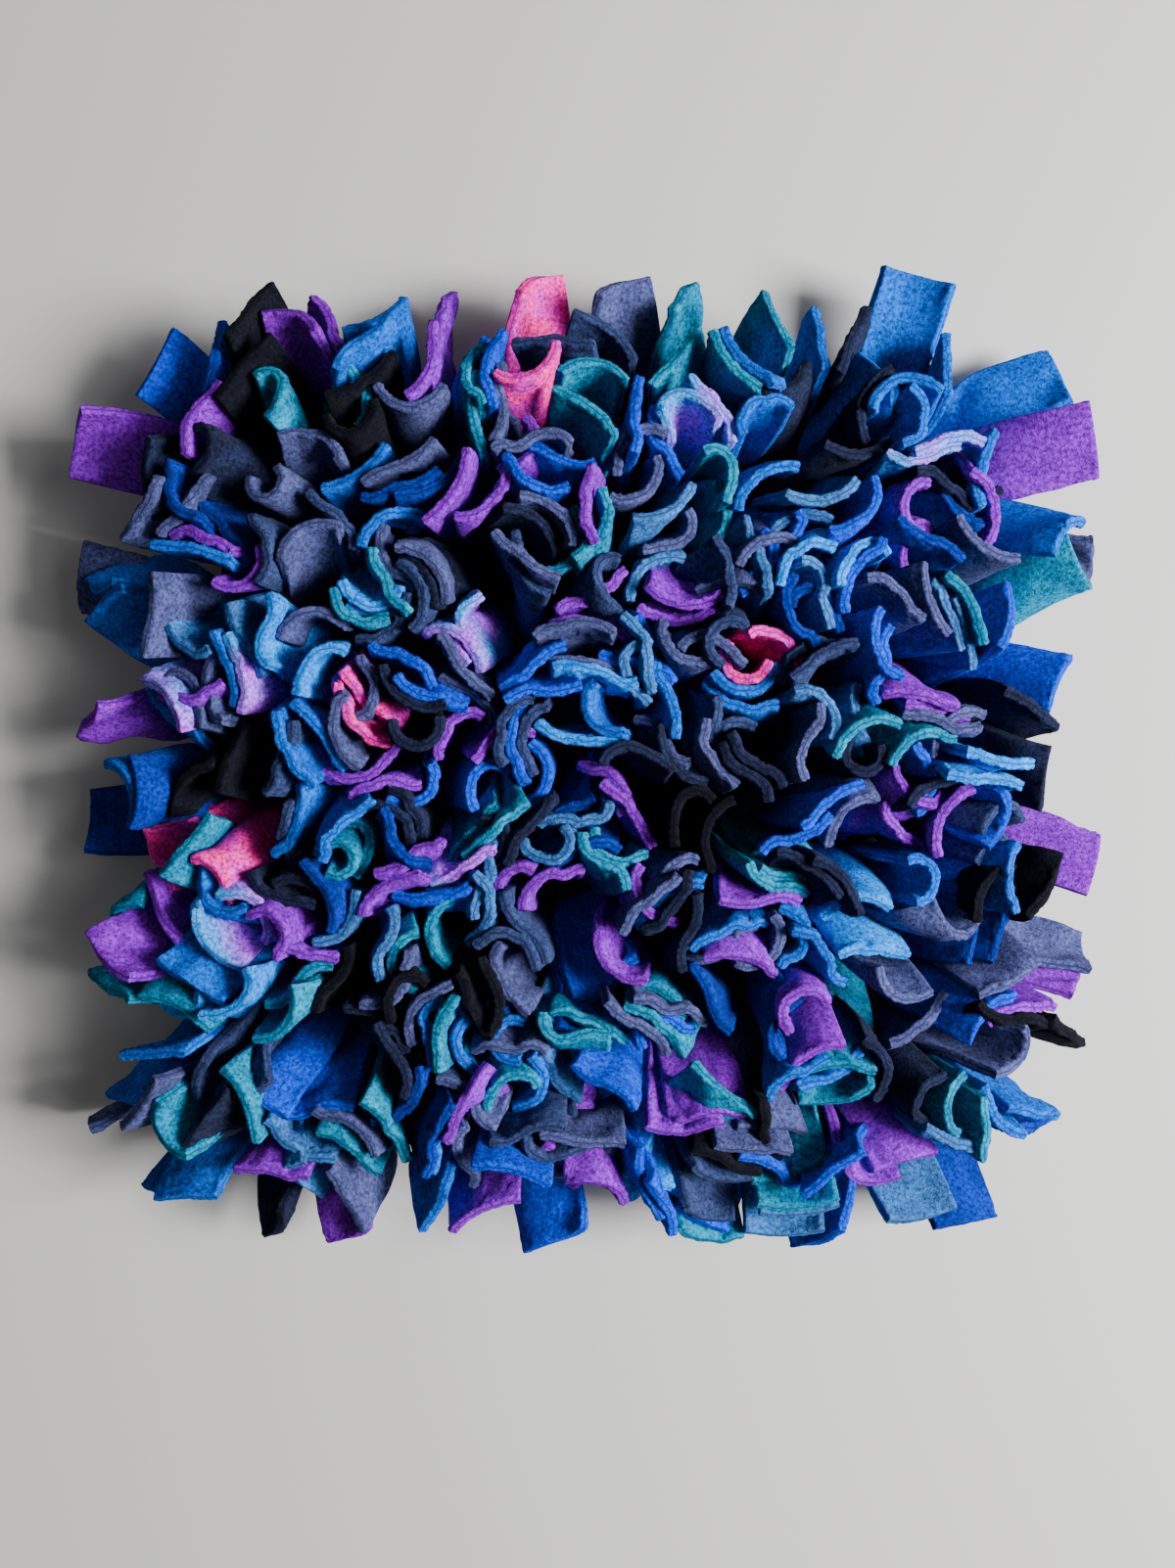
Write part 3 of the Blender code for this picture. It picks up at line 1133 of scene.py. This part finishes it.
@dataclass
class FleeceCutter:
    """Turns a settled grid of points into a thick, soft-edged sheet of fleece.

    The two napped faces meet in a shallow groove all round the cut edge.

    Attributes:
        inner_columns: The sheet's lines across its width, between its rounded edges.
        inner_rows: Its lines along its length, between its rounded edges.
        tip_crowding: Above 1, the lines crowd towards the tips.
        fluff: How uneven the nap is in the middle of a strip and at its tips.
        fluffy_from: How far out from the middle the nap starts to get rougher, as a share.
        groove: How deep the groove in the cut edge is.
        edge_steps: How far in from the edge each line is, and its share of the thickness.
        sheet_share: The sheet's thickness as a share of the distance kept between strips.
        knit_and_groove_shade_height: The share of the thickness up to which the knit and the
            painted groove shade show.
        knit_and_groove_shade_power: How evenly they fade there.
        across: Where the lines lie across the strip, counted in points.
        along: Where they lie along it.
        height_across: The share of the thickness at each line across the strip.
        height_along: The same along it.
        rough: How uneven the nap is at each line along the strip.
        read_across: Reads places between the points across the strip.
        read_along: Reads places between those along it.
        slope_across: Reads the slopes across the strip.
        slope_along: Reads those along it.
    """

    sizes: MatSizes
    relaxer: PileRelaxer
    inner_columns: int = 21
    inner_rows: int = 33
    tip_crowding: float = 1.6
    fluff: tuple[float, float] = (0.00007, 0.00022)
    fluffy_from: float = 0.65
    groove: float = 0.00016
    edge_steps: tuple[tuple[float, float], ...] = ((0.0, 0.66), (0.00030, 0.94), (0.0011, 1.0))
    sheet_share: float = 0.93
    knit_and_groove_shade_height: float = 0.55
    knit_and_groove_shade_power: float = 0.8
    across: np.ndarray = field(init=False)
    along: np.ndarray = field(init=False)
    height_across: np.ndarray = field(init=False)
    height_along: np.ndarray = field(init=False)
    rough: np.ndarray = field(init=False)
    read_across: np.ndarray = field(init=False)
    read_along: np.ndarray = field(init=False)
    slope_across: np.ndarray = field(init=False)
    slope_along: np.ndarray = field(init=False)

    def __post_init__(self) -> None:
        """Works out where the sheet's rows and columns lie between the points."""
        spacing = self.sizes.strip_width / (self.relaxer.columns - 1)
        self.across, self.height_across = self._stations(
            self.relaxer.columns, self.inner_columns, spacing
        )
        spacing = self.sizes.tail_length / self.relaxer.tail_rows
        self.along, self.height_along = self._stations(
            self.relaxer.rows, self.inner_rows, spacing, self.tip_crowding
        )
        middle = (self.relaxer.rows - 1) / 2
        near_tip = smooth_step(np.abs(self.along - middle) / middle, self.fluffy_from, 1.0)
        self.rough = self.fluff[0] + (self.fluff[1] - self.fluff[0]) * near_tip
        self.read_across, self.slope_across = self._readers(self.across, self.relaxer.columns)
        self.read_along, self.slope_along = self._readers(self.along, self.relaxer.rows)

    def _stations(
        self, points: int, inner: int, spacing: float, crowding: float = 1.0
    ) -> tuple[np.ndarray, np.ndarray]:
        """Where the sheet's lines lie along one direction, and how thick it is there.

        Args:
            points: How many points the grid has in this direction.
            inner: How many lines the sheet has between its rounded edges.
            spacing: The distance between two points.
            crowding: Above 1, the lines crowd towards both ends.

        Returns:
            The lines' places, counted in points, and their shares of the full thickness.
        """
        edge = [(self.groove, 0.0), *self.edge_steps]
        places = [inset / spacing for inset, _ in edge]
        heights = [height for _, height in edge]
        last = points - 1
        share = np.linspace(-1.0, 1.0, inner)
        share = np.sign(share) * (1.0 - (1.0 - np.abs(share)) ** crowding)
        middle = last / 2 + share * (last / 2 - places[-1])
        all_places = np.array(places[:-1] + list(middle) + [last - p for p in places[-2::-1]])
        all_heights = np.array(heights[:-1] + [1.0] * inner + heights[-2::-1])
        return all_places, all_heights

    @staticmethod
    def _readers(places: np.ndarray, points: int) -> tuple[np.ndarray, np.ndarray]:
        """Matrices that read a smooth curve through points, and its slope.

        Args:
            places: Where to read it, counted in points.
            points: How many points it runs through.

        Returns:
            The matrix that gives the curve's places, and the one that gives its slopes.
        """
        identity = np.eye(points)
        tangents = np.zeros((points, points))
        tangents[1:-1] = (identity[2:] - identity[:-2]) / 2
        tangents[0] = identity[1] - identity[0]
        tangents[-1] = identity[-1] - identity[-2]
        start = np.clip(np.floor(places).astype(int), 0, points - 2)
        t = (places - start)[:, None]
        a, b = identity[start], identity[start + 1]
        da, db = tangents[start], tangents[start + 1]
        read = (2 * t**3 - 3 * t**2 + 1) * a + (t**3 - 2 * t**2 + t) * da
        read += (3 * t**2 - 2 * t**3) * b + (t**3 - t**2) * db
        slope = (6 * t**2 - 6 * t) * a + (3 * t**2 - 4 * t + 1) * da
        slope += (6 * t - 6 * t**2) * b + (3 * t**2 - 2 * t) * db
        return read, slope

    def sheet(self, grid: np.ndarray, rng: np.random.Generator) -> tuple[np.ndarray, np.ndarray]:
        """One strip's vertices and how near each is to the knit and the painted groove shade in
        its cut edge.

        Args:
            grid: The strip's settled points.
            rng: The source of its unevenness.

        Returns:
            The vertices, and a number from 0 to 1 for each.
        """
        middle = np.einsum("ar,rck,bc->abk", self.read_along, grid, self.read_across)
        slope_u = np.einsum("ar,rck,bc->abk", self.read_along, grid, self.slope_across)
        slope_v = np.einsum("ar,rck,bc->abk", self.slope_along, grid, self.read_across)
        normal = np.cross(slope_u, slope_v)
        normal /= np.linalg.norm(normal, axis=-1, keepdims=True) + 1e-12
        height = np.outer(self.height_along, self.height_across)
        rows = np.interp(self.along, np.arange(self.relaxer.rows), self.relaxer.thick)
        half = 0.5 * self.sheet_share * rows[:, None] * height
        rough = rng.normal(0.0, 1.0, half.shape) * self.rough[:, None]
        top = middle + normal * (half + rough)[..., None]
        rough = rng.normal(0.0, 1.0, half.shape) * self.rough[:, None]
        bottom = middle - normal * (half + rough * (height > 0))[..., None]
        # 1 at the bottom of the edge's groove, where the knit line and the painted groove shade
        # go.
        core = np.clip(1.0 - height / self.knit_and_groove_shade_height, 0.0, 1.0) ** self.knit_and_groove_shade_power
        vertices = np.concatenate([top.reshape(-1, 3), bottom[1:-1, 1:-1].reshape(-1, 3)])
        nearness = np.concatenate([core.reshape(-1), core[1:-1, 1:-1].reshape(-1)])
        return vertices, nearness

    def faces(self) -> np.ndarray:
        """Joins one sheet's vertices.

        Returns:
            The faces, as four vertex numbers each.
        """
        rows, columns = len(self.along), len(self.across)
        top = np.arange(rows * columns).reshape(rows, columns)
        bottom = top.copy()
        inner = np.arange((rows - 2) * (columns - 2)).reshape(rows - 2, columns - 2)
        bottom[1:-1, 1:-1] = rows * columns + inner
        upper = np.stack([top[:-1, :-1], top[:-1, 1:], top[1:, 1:], top[1:, :-1]], axis=-1)
        lower = [bottom[:-1, :-1], bottom[1:, :-1], bottom[1:, 1:], bottom[:-1, 1:]]
        lower = np.stack(lower, axis=-1)
        return np.concatenate([upper.reshape(-1, 4), lower.reshape(-1, 4)])

    def flat_map(self) -> np.ndarray:
        """Lays one sheet out flat.

        Returns:
            Each vertex's place on the flat strip, in metres.
        """
        across = self.across * self.sizes.strip_width / (self.relaxer.columns - 1)
        along = self.along * self.sizes.tail_length / self.relaxer.tail_rows
        places = np.stack(np.meshgrid(across, along), axis=-1)
        return np.concatenate([places.reshape(-1, 2), places[1:-1, 1:-1].reshape(-1, 2)])


@dataclass
class StripRow:
    """One row of strips, joined as one piece.

    Attributes:
        grids: The strips' settled points.
        finishes: The material of each dye.
    """

    number: int
    strips: list[Strip]
    grids: np.ndarray
    cutter: FleeceCutter
    finishes: dict[Dye, bpy.types.Material]

    @property
    def name(self) -> str:
        """The row's name, as in the frame."""
        return f"strip_row_{self.number:02d}"

    def build(self) -> bpy.types.Object:
        """Makes the row's mesh and hands it to the frame.

        Returns:
            The row's piece.
        """
        rng = np.random.default_rng(self.number)
        sheets = [self.cutter.sheet(grid, rng) for grid in self.grids]
        faces = self.cutter.faces()
        size = len(sheets[0][0])
        vertices = np.concatenate([sheet[0] for sheet in sheets])
        core = np.concatenate([sheet[1] for sheet in sheets])
        all_faces = np.concatenate([faces + index * size for index in range(len(sheets))])
        mesh = bpy.data.meshes.new(f"pile_{self.number:02d}")
        mesh.from_pydata(vertices.tolist(), [], all_faces.tolist())
        mesh.shade_smooth()
        attribute = mesh.attributes.new("core", "FLOAT", "POINT")
        attribute.data.foreach_set("value", core.astype(np.float32))
        self._map(mesh)
        piece = bpy.data.objects.new(f"fleece_row_{self.number:02d}", mesh)
        bpy.context.scene.collection.objects.link(piece)
        self._dress(mesh, len(faces))
        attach(piece, "root")
        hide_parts(self.name)
        return piece

    def _map(self, mesh: bpy.types.Mesh) -> None:
        """Lays the flat strips on the mesh as its UV map.

        Args:
            mesh: The row's mesh.
        """
        places = np.tile(self.cutter.flat_map(), (len(self.strips), 1))
        layer = mesh.uv_layers.new(name="cut")
        corners = np.zeros(len(mesh.loops), dtype=np.int32)
        mesh.loops.foreach_get("vertex_index", corners)
        layer.data.foreach_set("uv", places[corners].reshape(-1).astype(np.float32))

    def _dress(self, mesh: bpy.types.Mesh, faces_each: int) -> None:
        """Gives each strip its dye.

        Args:
            mesh: The row's mesh.
            faces_each: How many faces a strip has.
        """
        dyes = sorted({strip.dye for strip in self.strips}, key=lambda dye: dye.name)
        for dye in dyes:
            mesh.materials.append(self.finishes[dye])
        slots = np.repeat([dyes.index(strip.dye) for strip in self.strips], faces_each)
        mesh.polygons.foreach_set("material_index", slots.astype(np.int32))

    def declare(self, sizes: MatSizes) -> None:
        """Works out the length of fleece that the row was cut from, but passes it on to nothing.

        Args:
            sizes: The sizes of the mat.
        """
        length = 2 * sizes.tail_length + sizes.sewn_length
        length * len(self.strips)


@dataclass(frozen=True)
class WovenFinish:
    """Plain woven cloth with lines of stitches, for the panel.

    Attributes:
        colour: The cloth's colour.
        tones: The factors on it between the threads and on them.
        thread: The colour of the stitches.
        weave_scale: The scale of the weave.
        seam_spacing: From one line of stitches to the next.
        seam_width: The width of a stitch.
        stitch_length: From one stitch to the next.
        stitch_share: A stitch's length, as a share of that.
        bump: How much of the weave's relief shows.
        bump_depth: Its full depth.
        roughness: The surface's roughness.
        specular: How much it mirrors.
    """

    colour: Colour = (0.012, 0.018, 0.045)
    tones: tuple[float, float] = (0.55, 1.3)
    thread: Colour = (0.110, 0.130, 0.210)
    weave_scale: float = 140.0
    seam_spacing: float = 0.018
    seam_width: float = 0.0009
    stitch_length: float = 0.0035
    stitch_share: float = 0.78
    bump: float = 0.6
    bump_depth: float = 0.0003
    roughness: float = 0.9
    specular: float = 0.25

    def material(self) -> bpy.types.Material:
        """Makes the cloth's material.

        Returns:
            The material.
        """
        recipe = Recipe("woven_navy")
        warp, weft = recipe.waves("X", self.weave_scale), recipe.waves("Y", self.weave_scale)
        weave = recipe.chain(warp, ("MULTIPLY", weft))
        cloth = recipe.mix(weave, *(shade(self.colour, tone) for tone in self.tones))
        sewn = recipe.mix(self._stitches(recipe), cloth, self.thread)
        recipe.feed(recipe.shader.inputs["Base Color"], sewn)
        recipe.bump(weave, self.bump, self.bump_depth)
        recipe.shader.inputs["Roughness"].default_value = self.roughness
        recipe.shader.inputs["Specular IOR Level"].default_value = self.specular
        return recipe.material

    def _stitches(self, recipe: Recipe) -> bpy.types.NodeSocket:
        """Adds the lines of stitches that hold the rows down, which show on the underside.

        Args:
            recipe: The recipe to add them to.

        Returns:
            1 on a stitch and 0 beside it.
        """
        axes = recipe.nodes.new("ShaderNodeSeparateXYZ")
        recipe.feed(axes.inputs["Vector"], recipe.place)
        on_seam = recipe.chain(
            axes.outputs["Y"],
            ("DIVIDE", self.seam_spacing),
            ("ADD", 0.5),
            ("FRACT", 0.0),
            ("SUBTRACT", 0.5),
            ("ABSOLUTE", 0.0),
            ("LESS_THAN", self.seam_width / 2 / self.seam_spacing),
        )
        return recipe.chain(
            axes.outputs["X"],
            ("DIVIDE", self.stitch_length),
            ("FRACT", 0.0),
            ("LESS_THAN", self.stitch_share),
            ("MULTIPLY", on_seam),
        )


@dataclass
class BasePanel:
    """The flat panel that everything is sewn to.

    Attributes:
        corner_radius: The radius of its corners in plan.
        corner_segments: How many faces a corner is rounded with.
        soft_edge: The radius of its edges.
        edge_segments: How many faces an edge is rounded with.
        level_within: How much higher one end of a level edge may be than the other.
        sharp_from: The angle in degrees above which an edge isn't smoothed.
    """

    sizes: MatSizes
    corner_radius: float = 0.012
    corner_segments: int = 8
    soft_edge: float = 0.0011
    edge_segments: int = 3
    level_within: float = 1e-6
    sharp_from: float = 50.0

    def build(self) -> bpy.types.Object:
        """Makes the panel and hands it to the frame.

        Returns:
            The panel's piece.
        """
        low, high = (Vector(corner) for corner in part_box("base_panel"))
        bm = bmesh.new()
        bmesh.ops.create_cube(bm, size=1)
        bmesh.ops.scale(bm, verts=bm.verts, vec=high - low)
        bmesh.ops.translate(bm, verts=bm.verts, vec=(low + high) / 2)
        upright = [edge for edge in bm.edges if self._rise(edge) > self.level_within]
        self._round(bm, upright, self.corner_radius, self.corner_segments)
        level = [edge for edge in bm.edges if self._rise(edge) < self.level_within]
        self._round(bm, level, self.soft_edge, self.edge_segments)
        bmesh.ops.recalc_face_normals(bm, faces=bm.faces)
        mesh = bpy.data.meshes.new("base_cloth")
        bm.to_mesh(mesh)
        bm.free()
        mesh.shade_smooth()
        mesh.set_sharp_from_angle(angle=math.radians(self.sharp_from))
        mesh.materials.append(WovenFinish().material())
        piece = bpy.data.objects.new("base_cloth", mesh)
        bpy.context.scene.collection.objects.link(piece)
        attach(piece, "root")
        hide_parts("base_panel")
        return piece

    @staticmethod
    def _rise(edge: bmesh.types.BMEdge) -> float:
        """How much higher one end of an edge is than the other."""
        return abs(edge.verts[0].co.z - edge.verts[1].co.z)

    @staticmethod
    def _round(bm: bmesh.types.BMesh, edges: list, radius: float, segments: int) -> None:
        """Rounds edges.

        Args:
            bm: The mesh that they are in.
            edges: The edges.
            radius: The radius.
            segments: How many faces the rounding has.
        """
        bmesh.ops.bevel(
            bm,
            geom=edges,
            offset=radius,
            segments=segments,
            profile=0.5,
            affect="EDGES",
            material=-1,
        )


@dataclass(frozen=True)
class PlainFinish:
    """A plain matt surface."""

    name: str
    colour: Colour
    roughness: float = 0.8
    specular: float = 0.2

    def material(self) -> bpy.types.Material:
        """Makes the surface's material.

        Returns:
            The material.
        """
        material = bpy.data.materials.new(self.name)
        material.use_nodes = True
        shader = material.node_tree.nodes["Principled BSDF"]
        shader.inputs["Base Color"].default_value = (*self.colour, 1.0)
        shader.inputs["Roughness"].default_value = self.roughness
        shader.inputs["Specular IOR Level"].default_value = self.specular
        return material


@dataclass(frozen=True)
class Softbox:
    """A soft rectangular studio light that faces the mat."""

    name: str
    place: Triple
    side: float
    watts: float
    colour: Colour
    aim: Triple = (0.0, 0.0, 0.03)

    def build(self) -> bpy.types.Object:
        """Sets the light up.

        Returns:
            The lamp.
        """
        light = bpy.data.lights.new(self.name, "AREA")
        light.shape = "SQUARE"
        light.size = self.side
        light.energy = self.watts
        light.color = self.colour
        lamp = bpy.data.objects.new(self.name, light)
        bpy.context.scene.collection.objects.link(lamp)
        away = Vector(self.place) - Vector(self.aim)
        turn = away.to_track_quat("Z", "Y").to_matrix().to_4x4()
        lamp.matrix_world = Matrix.Translation(Vector(self.place)) @ turn
        return lamp


@dataclass(frozen=True)
class Skylight:
    """Even light from one direction, softened as by a large distant window."""

    name: str
    towards: Triple
    strength: float
    spread: float = math.radians(34)

    def build(self) -> bpy.types.Object:
        """Sets the light up.

        Returns:
            The lamp.
        """
        light = bpy.data.lights.new(self.name, "SUN")
        light.energy = self.strength
        light.angle = self.spread
        lamp = bpy.data.objects.new(self.name, light)
        bpy.context.scene.collection.objects.link(lamp)
        turn = Vector(self.towards).to_track_quat("Z", "Y")
        lamp.matrix_world = turn.to_matrix().to_4x4()
        return lamp


@dataclass
class Studio:
    """The floor, the lights and the camera.

    Attributes:
        camera_height: The camera's height above the floor.
        view_width: How much the camera sees from side to side at view_level.
        view_level: The height at which it does.
        sensor_width: The width of the camera's sensor, in millimetres.
        off_centre: How far the camera is from above the mat's middle.
        floor_half: Half the side of the floor.
        floor_colour: The floor's colour.
        air: The grey of the light from all around.
        air_strength: The strength of that light.
        key: The main light, which gives the pile its shadows.
        window: The second light, which softens them.
    """

    camera_height: float = 0.475
    view_width: float = 0.437
    view_level: float = 0.015
    sensor_width: float = 36.0
    off_centre: tuple[float, float] = (0.0, -0.009)
    floor_half: float = 8.0
    floor_colour: Colour = (0.47, 0.465, 0.46)
    air: float = 0.80
    air_strength: float = 0.19
    key: Softbox = Softbox("key", (0.90, -0.04, 0.76), 0.42, 46.0, (1.0, 0.99, 0.97))
    window: Skylight = Skylight("far_window", (0.90, -0.04, 0.78), 1.25)

    def build(self) -> None:
        """Sets the studio up around the mat."""
        self._floor()
        self.key.build()
        self.window.build()
        world = bpy.data.worlds.new("studio_air")
        world.use_nodes = True
        background = world.node_tree.nodes["Background"]
        background.inputs["Color"].default_value = (self.air, self.air, self.air, 1.0)
        background.inputs["Strength"].default_value = self.air_strength
        bpy.context.scene.world = world
        self._camera()

    def _floor(self) -> None:
        """Lays a wide pale floor."""
        bm = bmesh.new()
        bmesh.ops.create_grid(bm, x_segments=1, y_segments=1, size=self.floor_half)
        mesh = bpy.data.meshes.new("studio_floor")
        bm.to_mesh(mesh)
        bm.free()
        mesh.materials.append(PlainFinish("pale_floor", self.floor_colour).material())
        floor = bpy.data.objects.new("studio_floor", mesh)
        bpy.context.scene.collection.objects.link(floor)
        floor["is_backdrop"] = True

    def _camera(self) -> None:
        """Hangs the camera above the mat, looking straight down."""
        low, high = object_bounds()
        lens = bpy.data.cameras.new("camera")
        lens.sensor_fit = "HORIZONTAL"
        lens.sensor_width = self.sensor_width
        lens.lens = self.sensor_width * (self.camera_height - self.view_level) / self.view_width
        camera = bpy.data.objects.new("camera", lens)
        bpy.context.scene.collection.objects.link(camera)
        x = (low[0] + high[0]) / 2 + self.off_centre[0]
        y = (low[1] + high[1]) / 2 + self.off_centre[1]
        camera.matrix_world = Matrix.Translation((x, y, self.camera_height))
        bpy.context.scene.camera = camera


@dataclass
class SnuffleMat:
    """The whole mat.

    Attributes:
    """

    sizes: MatSizes = field(default_factory=MatSizes)
    quick_steps: int = 30

    def build(self) -> None:
        """Builds the panel and the pile, and reports each piece."""
        panel = BasePanel(self.sizes).build()
        log.info("%s: %d faces", panel.name, len(panel.data.polygons))
        strips = Sower(self.sizes).strips()
        relaxer = PileRelaxer(self.sizes, Lean(self.sizes), strips)
        grids = relaxer.settle(None)
        cutter = FleeceCutter(self.sizes, relaxer)
        finishes = {dye: FleeceFinish(dye).material() for dye in Dye}
        per_row = self.sizes.strips_per_row
        for number in range(1, self.sizes.rows + 1):
            own = slice((number - 1) * per_row, number * per_row)
            row = StripRow(number, strips[own], grids[own], cutter, finishes)
            piece = row.build()
            row.declare(self.sizes)
            log.info("%s: %d faces", piece.name, len(piece.data.polygons))


def main() -> None:
    """Builds the mat and its studio around the frame."""
    logging.basicConfig(level=logging.INFO, format="%(name)s %(message)s")
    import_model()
    SnuffleMat().build()
    Studio().build()


if __name__ == "__main__":
    main()
